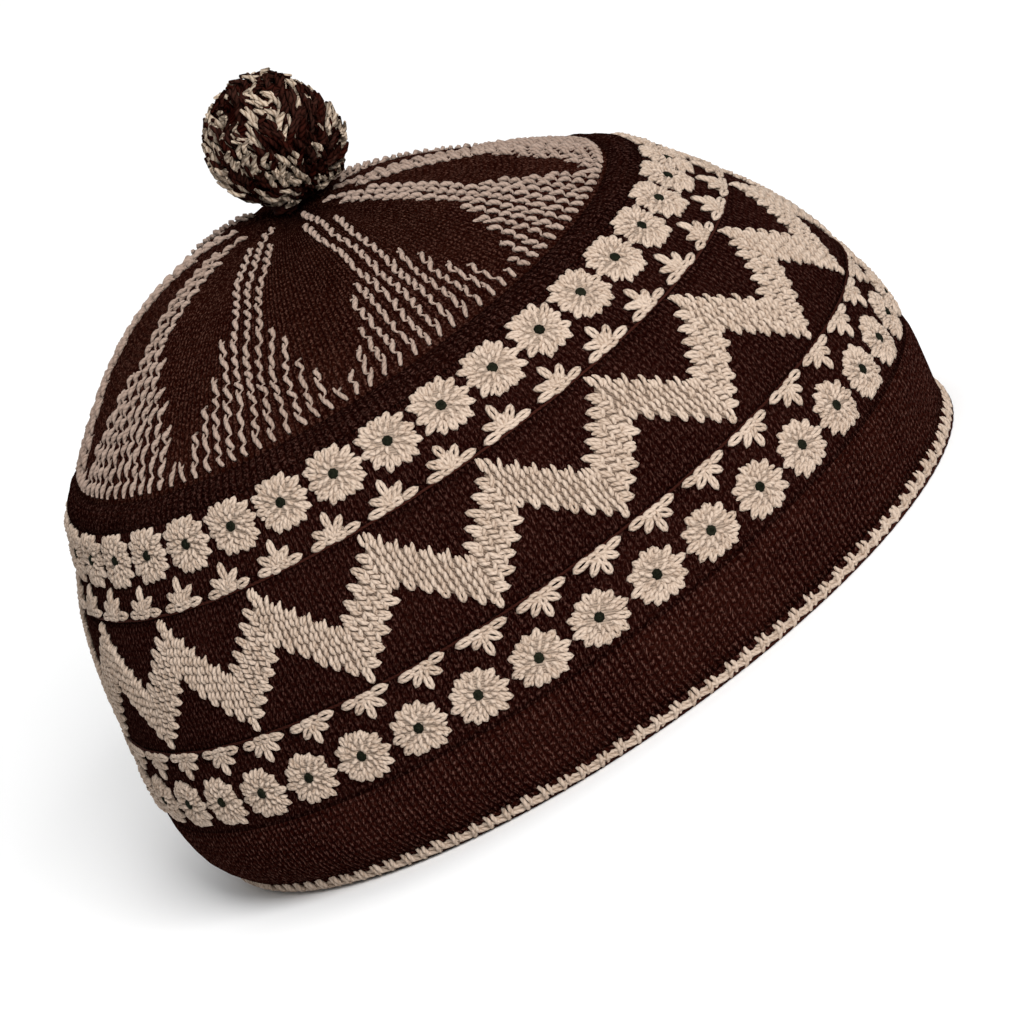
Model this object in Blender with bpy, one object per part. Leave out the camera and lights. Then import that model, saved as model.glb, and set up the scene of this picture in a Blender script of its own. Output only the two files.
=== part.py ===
"""Knitted kufi cap with a pompom.

The cap stands on its rim, with the origin at the middle of its base, +Z up and the side
that faces the viewer towards -Y. Every band of the wall follows one surface, and the crown
another one that starts where the wall ends. A point of either surface is worked out from a
place along the cap's profile and a turn round the cap.
"""

import math
import random

import bmesh
import bpy
from mathutils import Vector

MM = 0.001

# Driving dimensions
SEGMENTS = 72
GAP = 0.3 * MM
WALL_THICKNESS = 2.2 * MM
CROWN_THICKNESS = 2.0 * MM

# Outer outline of the wall, a row for each section: height, radius, lean of its middle to +X
WALL_SECTIONS = (
    (0.0 * MM, 92.0 * MM, 2.3 * MM),
    (4.0 * MM, 92.6 * MM, 0.4 * MM),
    (9.0 * MM, 93.9 * MM, -0.5 * MM),
    (18.0 * MM, 94.6 * MM, -0.25 * MM),
    (27.8 * MM, 94.0 * MM, -0.1 * MM),
    (37.6 * MM, 92.1 * MM, 0.0 * MM),
    (45.0 * MM, 90.3 * MM, -0.2 * MM),
    (54.0 * MM, 87.5 * MM, -0.8 * MM),
    (63.0 * MM, 83.8 * MM, -1.7 * MM),
    (72.0 * MM, 79.1 * MM, -2.6 * MM),
    (78.5 * MM, 75.3 * MM, -3.4 * MM),
    (83.5 * MM, 72.2 * MM, -4.0 * MM),
    (87.4 * MM, 66.3 * MM, -4.6 * MM),
)
WALL_TOP = WALL_SECTIONS[-1][0]

# The rim is drawn in, more so on the -X side, and the tuck fades with height
TUCK_LEFT = 0.036
TUCK_RIGHT = 0.018
TUCK_HEIGHT = 14.2 * MM
TUCK_SPREAD_LEFT = 1.6
TUCK_SPREAD_RIGHT = 2

# The shoulder stands a little higher on the -X side
SHOULDER_TILT = 1.3 * MM
TILT_POWER = 4

# Heights where one band of the wall ends and the next begins
EDGING_TOP = 3.6 * MM
HEM_TOP = 20.4 * MM
LOWER_SEAM = 37.6 * MM
UPPER_SEAM = 67.8 * MM
WELT_LOW = 83.5 * MM

EDGING_BULGE = 0.5 * MM
WELT_BULGE = 0.7 * MM
WELT_BULGE_INSIDE = 0.4 * MM

# Crown, fuller on the -X side
APEX = Vector((0.0, 0.0, 113.1 * MM))
FULLNESS_MEAN = 2.35
FULLNESS_SIDE = 0.635
SWELL_MEAN = 1.9 * MM
SWELL_SIDE = 3.1 * MM
GORES = 9
CREASE_TURN = math.radians(-95.0)
CREASE_DEPTH = 0.7 * MM
CREASE_POWER = 4
CROWN_ROWS = 9
CROWN_LOW = 0.006
CROWN_HIGH = 0.963

# Yarn tie through the gathered top of the crown
TIE_SIDES = 16
TIE_STEM_RADIUS = 1.8 * MM
TIE_COLLAR_RADIUS = 3.2 * MM
TIE_KNOT_RADIUS = 3.4 * MM
TIE_KNOT_FACE = 0.8 * TIE_KNOT_RADIUS
TIE_COLLAR_LOW = 114.0 * MM
TIE_COLLAR_TOP = 115.3 * MM
TIE_KNOT_LOW = 108.2 * MM
TIE_KNOT_TOP = 110.0 * MM

# Pompom
POMPOM_CENTRE = Vector((5.0 * MM, 0.0, 128.0 * MM))
POMPOM_RADIUS = 15.1 * MM
POMPOM_HEAD_RADIUS = 12.7 * MM
POMPOM_SEAT = TIE_COLLAR_TOP + GAP
POMPOM_DIVISIONS = 3
LOCK_GROOVE = 0.25 * MM
LOCK_TAPER = 0.82
LOCK_VARIATION = 0.5 * MM
LOCK_SEED = 7

# Step used to find a surface's direction
PLACE_STEP = 0.02 * MM
SHARE_STEP = 0.001
TURN_STEP = 0.002

MERGE_DISTANCE = 0.01 * MM
SHARP_ANGLE = math.radians(50)

MAROON = (0.021, 0.007, 0.007, 1.0)
TAN = (0.58, 0.44, 0.33, 1.0)
KNIT_ROUGHNESS = 0.9
LOOSE_ROUGHNESS = 0.95

# Bands of the wall: name, low, high, rows of points, bulge outside, bulge inside, colour
BANDS = (
    ("hem_edging", 0.0, EDGING_TOP, 4, EDGING_BULGE, 0.0, TAN),
    ("ribbed_hem", EDGING_TOP, HEM_TOP, 4, 0.0, 0.0, MAROON),
    ("lower_flower_band", HEM_TOP, LOWER_SEAM, 3, 0.0, 0.0, MAROON),
    ("zigzag_band", LOWER_SEAM, UPPER_SEAM, 5, 0.0, 0.0, MAROON),
    ("upper_flower_band", UPPER_SEAM, WELT_LOW, 3, 0.0, 0.0, MAROON),
    ("crown_welt", WELT_LOW, WALL_TOP, 5, WELT_BULGE, WELT_BULGE_INSIDE, MAROON),
)


def between(rows, place, column):
    """Value of a column at a place in a table, on a smooth curve through its rows."""
    last = len(rows) - 1
    index = 0
    while index < last - 1 and place > rows[index + 1][0]:
        index += 1
    low, high = rows[index], rows[index + 1]
    span = high[0] - low[0]
    share = (place - low[0]) / span
    rise = high[column] - low[column]
    before = rows[max(index - 1, 0)]
    after = rows[min(index + 2, last)]
    slope_low = (high[column] - before[column]) / (high[0] - before[0]) * span
    slope_high = (after[column] - low[column]) / (after[0] - low[0]) * span
    square = share * share
    cube = square * share
    return (
        low[column]
        + rise * (3 * square - 2 * cube)
        + slope_low * (cube - 2 * square + share)
        + slope_high * (cube - square)
    )


def wall_surface(height, turn):
    """Point of the wall's outer surface."""
    radius = between(WALL_SECTIONS, height, 1)
    lean = between(WALL_SECTIONS, height, 2)
    left_share = ((1 - math.cos(turn)) / 2) ** TUCK_SPREAD_LEFT
    right_share = ((1 + math.cos(turn)) / 2) ** TUCK_SPREAD_RIGHT
    tuck = TUCK_LEFT * left_share + TUCK_RIGHT * right_share
    radius *= 1 - tuck * math.exp(-height / TUCK_HEIGHT)
    rise = -SHOULDER_TILT * math.cos(turn) * (abs(height) / WALL_TOP) ** TILT_POWER
    return Vector((lean + radius * math.cos(turn), radius * math.sin(turn), height + rise))


def crown_surface(share, turn):
    """Point of the crown's outer surface, from share 0 at the welt to 1 at the apex."""
    base = wall_surface(WALL_TOP, turn)
    point = base.lerp(APEX, share)
    fullness = FULLNESS_MEAN - FULLNESS_SIDE * math.cos(turn)
    swell = SWELL_MEAN - SWELL_SIDE * math.cos(turn)
    rise = 1 - (1 - share) ** fullness
    arch = math.sin(math.pi * share)
    point.z = base.z + (APEX.z - base.z) * rise + swell * share * arch
    crease = abs(math.cos(GORES * (turn - CREASE_TURN) / 2)) ** CREASE_POWER
    point.z -= CREASE_DEPTH * crease * arch
    return point


def beneath(surface, place, step, turn, depth):
    """Point at a depth under a surface, measured square to it."""
    here = surface(place, turn)
    along = surface(place + step, turn) - surface(place - step, turn)
    around = surface(place, turn + TURN_STEP) - surface(place, turn - TURN_STEP)
    outward = around.cross(along).normalized()
    return here - outward * depth


def band_outline(low, high, rows, thickness, bulge=0.0, bulge_inside=0.0):
    """Cross-section of a band: places and depths, up its outer side and down its inner one."""
    outer = []
    inner = []
    for row in range(rows):
        share = row / (rows - 1)
        place = low + (high - low) * share
        swell = math.sin(math.pi * share)
        outer.append((place, -bulge * swell))
        inner.append((place, thickness + bulge_inside * swell))
    return outer + inner[::-1]


def ring_mesh(name, surface, step, outline, resting=False):
    """Closed ring that carries a cross-section round the cap, flat below where it rests."""
    bm = bmesh.new()
    sections = []
    for segment in range(SEGMENTS):
        turn = 2 * math.pi * segment / SEGMENTS
        section = []
        for place, depth in outline:
            point = beneath(surface, place, step, turn, depth)
            if resting:
                point.z = max(point.z, 0.0) if place > 0.0 else 0.0
            section.append(bm.verts.new(point))
        sections.append(section)
    count = len(outline)
    for segment in range(SEGMENTS):
        here = sections[segment]
        there = sections[(segment + 1) % SEGMENTS]
        for corner in range(count):
            following = (corner + 1) % count
            bm.faces.new((here[corner], there[corner], there[following], here[following]))
    bmesh.ops.recalc_face_normals(bm, faces=bm.faces)
    return finished_mesh(name, bm)


def finished_mesh(name, bm):
    """Mesh data from a bmesh, shaded smooth with its corners kept."""
    mesh = bpy.data.meshes.new(name)
    bm.to_mesh(mesh)
    bm.free()
    mesh.shade_smooth()
    mesh.set_sharp_from_angle(angle=SHARP_ANGLE)
    return mesh


def yarn_material(name, colour, roughness):
    """Plain material of a knitted or twisted yarn."""
    material = bpy.data.materials.new(name)
    material.use_nodes = True
    shader = material.node_tree.nodes["Principled BSDF"]
    shader.inputs["Base Color"].default_value = colour
    shader.inputs["Roughness"].default_value = roughness
    shader.inputs["Metallic"].default_value = 0.0
    return material


def add_part(name, mesh, colour, roughness, parent):
    """Object for one sub-part, with a material of its own."""
    part = bpy.data.objects.new(name, mesh)
    bpy.context.scene.collection.objects.link(part)
    mesh.materials.append(yarn_material(name, colour, roughness))
    part.parent = parent
    return part


def wall_band(name, low, high, rows, bulge, bulge_inside):
    """One band of the wall, half a gap short of each of its neighbours."""
    resting = low <= 0.0
    bottom = low if resting else low + GAP / 2
    top = high if high >= WALL_TOP else high - GAP / 2
    outline = band_outline(bottom, top, rows, WALL_THICKNESS, bulge, bulge_inside)
    return ring_mesh(name, wall_surface, PLACE_STEP, outline, resting)


def crown_mesh():
    """Soft dome in gores, open at the gathered apex where the tie passes."""
    outline = band_outline(CROWN_LOW, CROWN_HIGH, CROWN_ROWS, CROWN_THICKNESS)
    return ring_mesh("crown", crown_surface, SHARE_STEP, outline)


def tie_mesh():
    """Knotted yarn: a knot inside the crown, a stem and a collar under the pompom."""
    profile = (
        (0.0, TIE_KNOT_LOW),
        (TIE_KNOT_FACE, TIE_KNOT_LOW),
        (TIE_KNOT_RADIUS, (TIE_KNOT_LOW + TIE_KNOT_TOP) / 2),
        (TIE_KNOT_FACE, TIE_KNOT_TOP),
        (TIE_STEM_RADIUS, TIE_KNOT_TOP),
        (TIE_STEM_RADIUS, TIE_COLLAR_LOW),
        (TIE_COLLAR_RADIUS, TIE_COLLAR_LOW),
        (TIE_COLLAR_RADIUS, TIE_COLLAR_TOP),
        (0.0, TIE_COLLAR_TOP),
    )
    bm = bmesh.new()
    verts = [bm.verts.new((APEX.x + radius, APEX.y, height)) for radius, height in profile]
    edges = [bm.edges.new(pair) for pair in zip(verts, verts[1:])]
    bmesh.ops.spin(
        bm,
        geom=verts + edges,
        cent=(APEX.x, APEX.y, 0.0),
        axis=(0.0, 0.0, 1.0),
        angle=2 * math.pi,
        steps=TIE_SIDES,
    )
    bmesh.ops.remove_doubles(bm, verts=bm.verts, dist=MERGE_DISTANCE)
    bmesh.ops.recalc_face_normals(bm, faces=bm.faces)
    return finished_mesh("pompom_tie", bm)


def pompom_mesh():
    """Round head whose faces are drawn out into blunt locks of yarn, flat where it sits."""
    chance = random.Random(LOCK_SEED)
    bm = bmesh.new()
    bmesh.ops.create_icosphere(bm, subdivisions=POMPOM_DIVISIONS, radius=POMPOM_HEAD_RADIUS)
    locks = list(bm.faces)
    bmesh.ops.inset_individual(bm, faces=locks, thickness=LOCK_GROOVE, use_even_offset=True)
    for lock in locks:
        middle = lock.calc_center_median()
        reach = POMPOM_RADIUS + chance.uniform(-LOCK_VARIATION, LOCK_VARIATION)
        tip = middle.normalized() * reach
        for vert in lock.verts:
            vert.co = tip + (vert.co - middle) * LOCK_TAPER
    bmesh.ops.translate(bm, verts=bm.verts, vec=POMPOM_CENTRE)
    for vert in bm.verts:
        vert.co.z = max(vert.co.z, POMPOM_SEAT)
    return finished_mesh("pompom", bm)


def build_cap():
    """Every piece of the cap, from the rim upwards."""
    for old in list(bpy.data.objects):
        bpy.data.objects.remove(old, do_unlink=True)
    cap = bpy.data.objects.new("kufi_cap", None)
    bpy.context.scene.collection.objects.link(cap)

    for name, low, high, rows, bulge, bulge_inside, colour in BANDS:
        mesh = wall_band(name, low, high, rows, bulge, bulge_inside)
        add_part(name, mesh, colour, KNIT_ROUGHNESS, cap)
    add_part("crown", crown_mesh(), MAROON, KNIT_ROUGHNESS, cap)
    add_part("pompom_tie", tie_mesh(), MAROON, LOOSE_ROUGHNESS, cap)
    add_part("pompom", pompom_mesh(), TAN, LOOSE_ROUGHNESS, cap)


build_cap()
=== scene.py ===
import math

import bpy
import numpy as np
from mathutils import Matrix, Vector


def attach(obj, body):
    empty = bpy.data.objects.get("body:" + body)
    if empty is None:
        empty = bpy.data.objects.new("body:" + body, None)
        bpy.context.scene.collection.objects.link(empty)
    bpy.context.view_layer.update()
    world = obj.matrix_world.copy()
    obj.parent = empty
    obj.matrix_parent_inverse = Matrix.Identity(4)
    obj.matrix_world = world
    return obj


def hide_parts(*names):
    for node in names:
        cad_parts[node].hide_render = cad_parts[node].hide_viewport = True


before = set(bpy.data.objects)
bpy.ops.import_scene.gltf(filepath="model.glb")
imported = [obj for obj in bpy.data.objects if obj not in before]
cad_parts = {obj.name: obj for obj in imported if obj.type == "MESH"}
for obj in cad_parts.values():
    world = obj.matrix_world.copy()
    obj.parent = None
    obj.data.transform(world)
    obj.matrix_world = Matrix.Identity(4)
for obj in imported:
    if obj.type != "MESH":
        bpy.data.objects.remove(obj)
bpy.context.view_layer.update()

# Lengths here are in millimetres and turns in degrees, unless a name says otherwise
MM = 0.001
CHANCE = np.random.default_rng(5)

# Outer outline of the wall, a row for each section: height, radius, lean of its middle to +X
WALL_SECTIONS = np.array([
    (0.0, 92.0, 2.3), (4.0, 92.6, 0.4), (9.0, 93.9, -0.5), (18.0, 94.6, -0.25), (27.8, 94.0, -0.1),
    (37.6, 92.1, 0.0), (45.0, 90.3, -0.2), (54.0, 87.5, -0.8), (63.0, 83.8, -1.7), (72.0, 79.1, -2.6),
    (78.5, 75.3, -3.4), (83.5, 72.2, -4.0), (87.4, 66.3, -4.6),
])
WALL_TOP = 87.4
WALL_THICKNESS = 2.2
TUCK_LEFT = 0.036
TUCK_RIGHT = 0.018
TUCK_HEIGHT = 14.2
TUCK_LEFT_SPREAD = 1.6
TUCK_RIGHT_SPREAD = 2
DIP = 0.012
DIP_HEIGHT = 78.0
DIP_SPREAD = 11.0
DIP_RIGHT = 0.7
SHOULDER_TILT = 1.3
TILT_POWER = 4
EDGING_TOP = 3.6
HEM_TOP = 20.4
LOWER_SEAM = 37.6
UPPER_SEAM = 67.8
WELT_LOW = 83.5

APEX = np.array((0.0, 0.0, 113.1))
FULLNESS_MEAN = 2.35
FULLNESS_SIDE = 0.635
SWELL_MEAN = 1.9
SWELL_SIDE = 3.1
GORES = 9
CREASE_TURN = math.radians(-95.0)
CREASE_DEPTH = 0.7
CREASE_POWER = 4
CROWN_THICKNESS = 2.0
CROWN_LOW = 0.006
CROWN_HIGH = 0.963

POMPOM_CENTRE = np.array((5.0, 0.0, 128.0))

PLACE_STEP = 0.02
SHARE_STEP = 0.001
TURN_STEP = 0.002

# The photograph's outline runs over the stitches, so the knit under them lies a little lower
WALL_GROUND = -0.85
CROWN_GROUND = -0.95


def between(place, column):
    """Values of a column at places in the wall's table, on a smooth curve through its rows."""
    heights = WALL_SECTIONS[:, 0]
    values = WALL_SECTIONS[:, column]
    last = len(heights) - 1
    low = np.clip(np.searchsorted(heights, place) - 1, 0, last - 1)
    high = low + 1
    before = np.maximum(low - 1, 0)
    after = np.minimum(low + 2, last)
    span = heights[high] - heights[low]
    share = (place - heights[low]) / span
    slope_low = (values[high] - values[before]) / (heights[high] - heights[before]) * span
    slope_high = (values[after] - values[low]) / (heights[after] - heights[low]) * span
    square = share * share
    cube = square * share
    return (
        values[low]
        + (values[high] - values[low]) * (3 * square - 2 * cube)
        + slope_low * (cube - 2 * square + share)
        + slope_high * (cube - square)
    )


def wall_surface(height, turn):
    """Points of the wall's outer surface; the turn is in radians."""
    radius = between(height, 1)
    left_share = ((1 - np.cos(turn)) / 2) ** TUCK_LEFT_SPREAD
    right_share = ((1 + np.cos(turn)) / 2) ** TUCK_RIGHT_SPREAD
    tuck = TUCK_LEFT * left_share + TUCK_RIGHT * right_share
    radius = radius * (1 - tuck * np.exp(-height / TUCK_HEIGHT))
    side_share = left_share ** 2 + DIP_RIGHT * right_share
    dip = DIP * side_share * np.exp(-(((height - DIP_HEIGHT) / DIP_SPREAD) ** 2))
    radius = radius * (1 - dip)
    rise = -SHOULDER_TILT * np.cos(turn) * (np.abs(height) / WALL_TOP) ** TILT_POWER
    x = between(height, 2) + radius * np.cos(turn)
    return np.stack((x, radius * np.sin(turn), height + rise), axis=-1)


def crown_surface(share, turn):
    """Points of the crown's outer surface, from share 0 at the welt to 1 at the apex."""
    base = wall_surface(np.full(np.shape(share), WALL_TOP), turn)
    points = base + (APEX - base) * share[..., None]
    fullness = FULLNESS_MEAN - FULLNESS_SIDE * np.cos(turn)
    swell = SWELL_MEAN - SWELL_SIDE * np.cos(turn)
    rise = 1 - (1 - share) ** fullness
    arch = np.sin(np.pi * share)
    crease = np.abs(np.cos(GORES * (turn - CREASE_TURN) / 2)) ** CREASE_POWER
    height = base[..., 2] + (APEX[2] - base[..., 2]) * rise + swell * share * arch
    points[..., 2] = height - CREASE_DEPTH * crease * arch
    return points


def unit(vectors):
    return vectors / np.linalg.norm(vectors, axis=-1, keepdims=True)


def raised(surface, step, place, turn, lift):
    """Points lifted square off a surface, and the directions in which they are lifted."""
    place, turn, lift = np.broadcast_arrays(place, turn, lift)
    along = surface(place + step, turn) - surface(place - step, turn)
    around = surface(place, turn + TURN_STEP) - surface(place, turn - TURN_STEP)
    outward = unit(np.cross(around, along))
    return surface(place, turn) + outward * lift[..., None], outward


# Length along the wall from the rim, against height
PROFILE_POINTS = 900
PROFILE_HEIGHTS = np.linspace(0, WALL_TOP, PROFILE_POINTS)
PROFILE_RADII = between(PROFILE_HEIGHTS, 1)
PROFILE_STEPS = np.hypot(np.diff(PROFILE_HEIGHTS), np.diff(PROFILE_RADII))
PROFILE_LENGTHS = np.concatenate(([0.0], np.cumsum(PROFILE_STEPS)))


def height_at(length):
    return np.interp(length, PROFILE_LENGTHS, PROFILE_HEIGHTS)


def length_at(height):
    return np.interp(height, PROFILE_HEIGHTS, PROFILE_LENGTHS)


def on_wall(turn, length, lift):
    """Points and directions on the wall at turns in degrees and lengths up from the rim."""
    return raised(wall_surface, PLACE_STEP, height_at(length), np.radians(turn), lift)


def on_wall_flat(turn, length, x, y, lift):
    """The same for points at x to the right and y above a place on the wall."""
    up = length + y
    radius = between(height_at(up), 1)
    return on_wall(turn + np.degrees(x / radius), up, lift)


def add_piece(name, points, faces, material, uvs, tone=None, replaced=()):
    """Object from points and a list of face arrays, riding on the cap's one body."""
    mesh = bpy.data.meshes.new(name)
    corners = np.concatenate([face.ravel() for face in faces]).astype(np.int32)
    sizes = np.concatenate([np.full(len(face), face.shape[1]) for face in faces])
    starts = np.concatenate(([0], np.cumsum(sizes)[:-1])).astype(np.int32)
    mesh.vertices.add(len(points))
    mesh.vertices.foreach_set("co", (points * MM).astype(np.float32).ravel())
    mesh.loops.add(len(corners))
    mesh.loops.foreach_set("vertex_index", corners)
    mesh.polygons.add(len(sizes))
    mesh.polygons.foreach_set("loop_start", starts)
    layer = mesh.uv_layers.new(name="UVMap")
    layer.data.foreach_set("uv", np.concatenate(uvs).astype(np.float32).ravel())
    mesh.update(calc_edges=True)
    if tone is not None:
        attribute = mesh.attributes.new("tone", "FLOAT", "POINT")
        attribute.data.foreach_set("value", tone.astype(np.float32))
    mesh.shade_smooth()
    mesh.materials.append(material)
    piece = bpy.data.objects.new(name, mesh)
    bpy.context.scene.collection.objects.link(piece)
    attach(piece, "root")
    if replaced:
        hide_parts(*replaced)


def ring_quads(bands, rows, columns):
    """Quads between rows of points that run right round, a band of them above each lower row."""
    row, column = np.indices((bands, columns))
    above = (row + 1) % rows
    beside = (column + 1) % columns
    low = row * columns
    high = above * columns
    return np.stack((low + column, low + beside, high + beside, high + column), axis=-1).reshape(-1, 4)


def corner_uvs(u_low, u_high, v_low, v_high):
    """UVs of the corners of quads, in the order of their points."""
    corners = ((u_low, v_low), (u_high, v_low), (u_high, v_high), (u_low, v_high))
    return np.stack([np.stack(corner, -1) for corner in corners], axis=-2).reshape(-1, 2)


YARN_SIDES = 5
ROUND_SIDES = 6
TIE_SIDES = 8
TIP_SHARE = 0.6
FLOOR_GAP = 0.05


def tubes(paths, ups, radii, sides, closed, tones):
    """Points, faces, UVs and tones of round strands, one for each path of points."""
    count, steps = paths.shape[:2]
    radii = np.broadcast_to(radii, (count, steps))
    if closed:
        tangent = np.roll(paths, -1, axis=1) - np.roll(paths, 1, axis=1)
        gaps = np.linalg.norm(np.roll(paths, -1, axis=1) - paths, axis=-1)
    else:
        tangent = np.gradient(paths, axis=1)
        gaps = np.linalg.norm(np.diff(paths, axis=1), axis=-1)
    tangent = unit(tangent)
    side = unit(np.cross(tangent, ups))
    up = np.cross(side, tangent)
    angle = 2 * np.pi * np.arange(sides) / sides
    ring = side[:, :, None] * np.cos(angle)[:, None] + up[:, :, None] * np.sin(angle)[:, None]
    points = (paths[:, :, None] + ring * radii[:, :, None, None]).reshape(-1, 3)
    tone = np.repeat(tones, steps * sides)

    bands = steps if closed else steps - 1
    strand, band, corner = np.indices((count, bands, sides))
    following = (corner + 1) % sides
    above = (band + 1) % steps

    def index(step, place):
        return ((strand * steps + step) * sides + place).ravel()

    quads = np.stack(
        (index(band, corner), index(above, corner), index(above, following), index(band, following)),
        axis=-1,
    )
    reach = np.concatenate((np.zeros((count, 1)), np.cumsum(gaps, axis=1)), axis=1)
    start = reach[strand, band].ravel()
    end = reach[strand, band + 1].ravel()
    low = (corner / sides).ravel()
    high = ((corner + 1) / sides).ravel()
    faces = [quads]
    uvs = [corner_uvs(start, end, low, high)]
    if not closed:
        for step, sense in ((0, -1.0), (steps - 1, 1.0)):
            tips = paths[:, step] + tangent[:, step] * radii[:, step, None] * TIP_SHARE * sense
            first = len(points)
            points = np.concatenate((points, tips))
            tone = np.concatenate((tone, tones))
            tip, place = np.indices((count, sides))
            here = (tip * steps + step) * sides + place
            there = (tip * steps + step) * sides + (place + 1) % sides
            order = (there, here) if sense > 0 else (here, there)
            faces.append(np.stack((tip + first, order[1], order[0]), axis=-1).reshape(-1, 3))
            at = np.broadcast_to(reach[:, step, None], tip.shape)
            near = np.stack((at, place / sides), -1)
            far = np.stack((at, (place + 1) / sides), -1)
            uvs.append(np.stack((near, near, far), axis=2).reshape(-1, 2))
    return points, faces, uvs, tone


def add_strands(name, groups, material, replaced=()):
    """One piece from several groups of points, faces, UVs and tones, kept off the floor."""
    faces = []
    uvs = []
    first = 0
    for group_points, group_faces, group_uvs, _ in groups:
        faces.extend(face + first for face in group_faces)
        uvs.extend(group_uvs)
        first += len(group_points)
    points = np.concatenate([group[0] for group in groups])
    points[:, 2] = np.maximum(points[:, 2], FLOOR_GAP)
    tones = np.concatenate([group[3] for group in groups])
    add_piece(name, points, faces, material, uvs, tones, replaced)


# Shape of a looped stitch: share of its length, share of its half width
LOOP = np.array([
    (0.00, -0.45), (0.25, -0.92), (0.58, -0.97), (0.87, -0.55), (1.00, 0.0),
    (0.87, 0.55), (0.58, 0.97), (0.25, 0.92), (0.00, 0.45), (-0.05, 0.0),
])
# Shape of a straight stitch: share of its length, share of its full radius, share of its lift
STRAIGHT = np.array([
    (0.00, 0.50, 0.1), (0.17, 0.90, 0.7), (0.48, 1.06, 1.0), (0.78, 0.86, 0.8), (1.00, 0.40, 0.1),
])
# Height of a stitch's ends over the knit, and how far hand work strays from its place
STITCH_SEAT = 0.15
LIFT_STRAY = 0.05
LOOP_BASE_STRAY = 0.16
LOOP_TIP_STRAY = 0.2
LOOP_WIDTHS = (0.88, 1.12)
STRAIGHT_STRAY = 0.15
STRAIGHT_BOW = 0.08


def loops(length, turn, base, tip, half_width, radius, lift):
    """Looped stitches from base to tip, at x and y from places on the wall."""
    count = len(turn)
    base = base + CHANCE.normal(0, LOOP_BASE_STRAY, base.shape)
    tip = tip + CHANCE.normal(0, LOOP_TIP_STRAY, tip.shape)
    run = tip - base
    reach = np.linalg.norm(run, axis=-1, keepdims=True)
    along = run / reach
    across = np.stack((-along[:, 1], along[:, 0]), axis=-1)
    inner = reach - radius
    wide = half_width * CHANCE.uniform(*LOOP_WIDTHS, (count, 1))
    x = base[:, :1] + along[:, :1] * inner * LOOP[:, 0] + across[:, :1] * wide * LOOP[:, 1]
    y = base[:, 1:] + along[:, 1:] * inner * LOOP[:, 0] + across[:, 1:] * wide * LOOP[:, 1]
    rise = np.sin(np.pi * np.clip(0.1 + 0.85 * LOOP[:, 0], 0, 1)) ** 0.7
    off = WALL_GROUND + STITCH_SEAT + lift * rise + CHANCE.normal(0, LIFT_STRAY, (count, 1))
    paths, ups = on_wall_flat(turn[:, None], length, x, y, off)
    tones = CHANCE.uniform(0, 1, count)
    return tubes(paths, ups, radius, YARN_SIDES, True, tones)


def straights(length, turn, base, tip, radius, lift, stray=STRAIGHT_STRAY):
    """Single straight stitches from base to tip."""
    count = len(turn)
    base = base + CHANCE.normal(0, stray, base.shape)
    tip = tip + CHANCE.normal(0, stray, tip.shape)
    run = tip - base
    bow = CHANCE.normal(0, STRAIGHT_BOW, (count, 1)) * np.sin(np.pi * STRAIGHT[:, 0])
    x = base[:, :1] + run[:, :1] * STRAIGHT[:, 0] + bow
    y = base[:, 1:] + run[:, 1:] * STRAIGHT[:, 0]
    rise = lift * STRAIGHT[:, 2]
    off = WALL_GROUND + STITCH_SEAT + rise + CHANCE.normal(0, LIFT_STRAY, (count, 1))
    paths, ups = on_wall_flat(turn[:, None], length, x, y, off)
    tones = CHANCE.uniform(0, 1, count)
    radii = np.broadcast_to(radius * STRAIGHT[:, 1], (count, len(STRAIGHT)))
    return tubes(paths, ups, radii, YARN_SIDES, False, tones)


def repeated(turns, rows):
    """A table of stitches, base x, base y, tip x, tip y, repeated at each turn."""
    table = np.tile(rows, (len(turns), 1))
    return np.repeat(turns, len(rows)), table[:, :2], table[:, 2:]


# Materials

FINE_DETAIL = 3.0
SHEEN_ROUGHNESS = 0.5
SHEEN_TINT = (1.0, 0.95, 0.9)
PLY_TURNS = 2.0


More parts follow.
